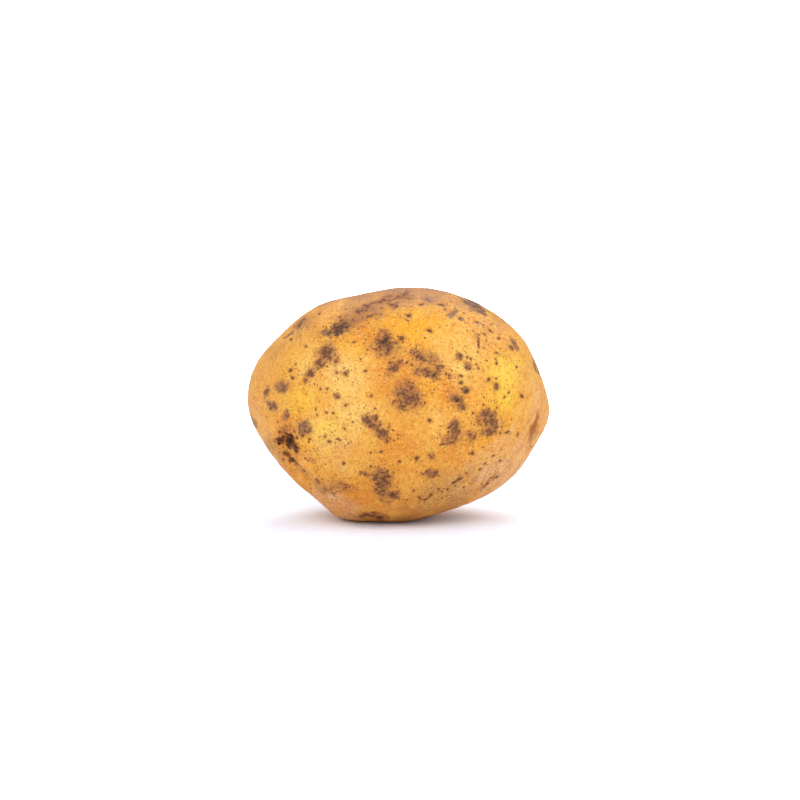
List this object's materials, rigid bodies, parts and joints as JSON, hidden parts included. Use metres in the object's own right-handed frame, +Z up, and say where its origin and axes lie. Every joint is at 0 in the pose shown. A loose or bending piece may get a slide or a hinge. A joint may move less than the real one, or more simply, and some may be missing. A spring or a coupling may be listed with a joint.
{
  "type": "potato",
  "caption": "Medium potato, oblong and slightly lopsided, with shallow eyes and a small nub at the stem end, lying on its side on a small flat spot.",
  "frame": {"origin": "on the level of the flat spot that the potato rests on, under the middle of its outline", "axes": "+X along the potato, from the rose end to the stem end; -Y is the side that faces the viewer; +Z up"},
  "size_m": [0.0846, 0.062, 0.065],
  "materials": {
    "skin": "smooth golden-tan skin with a soft sheen, brown scurfy spots and pores"
  },
  "bodies": {
    "root": {"potato": "skin"}
  },
  "joints": []
}
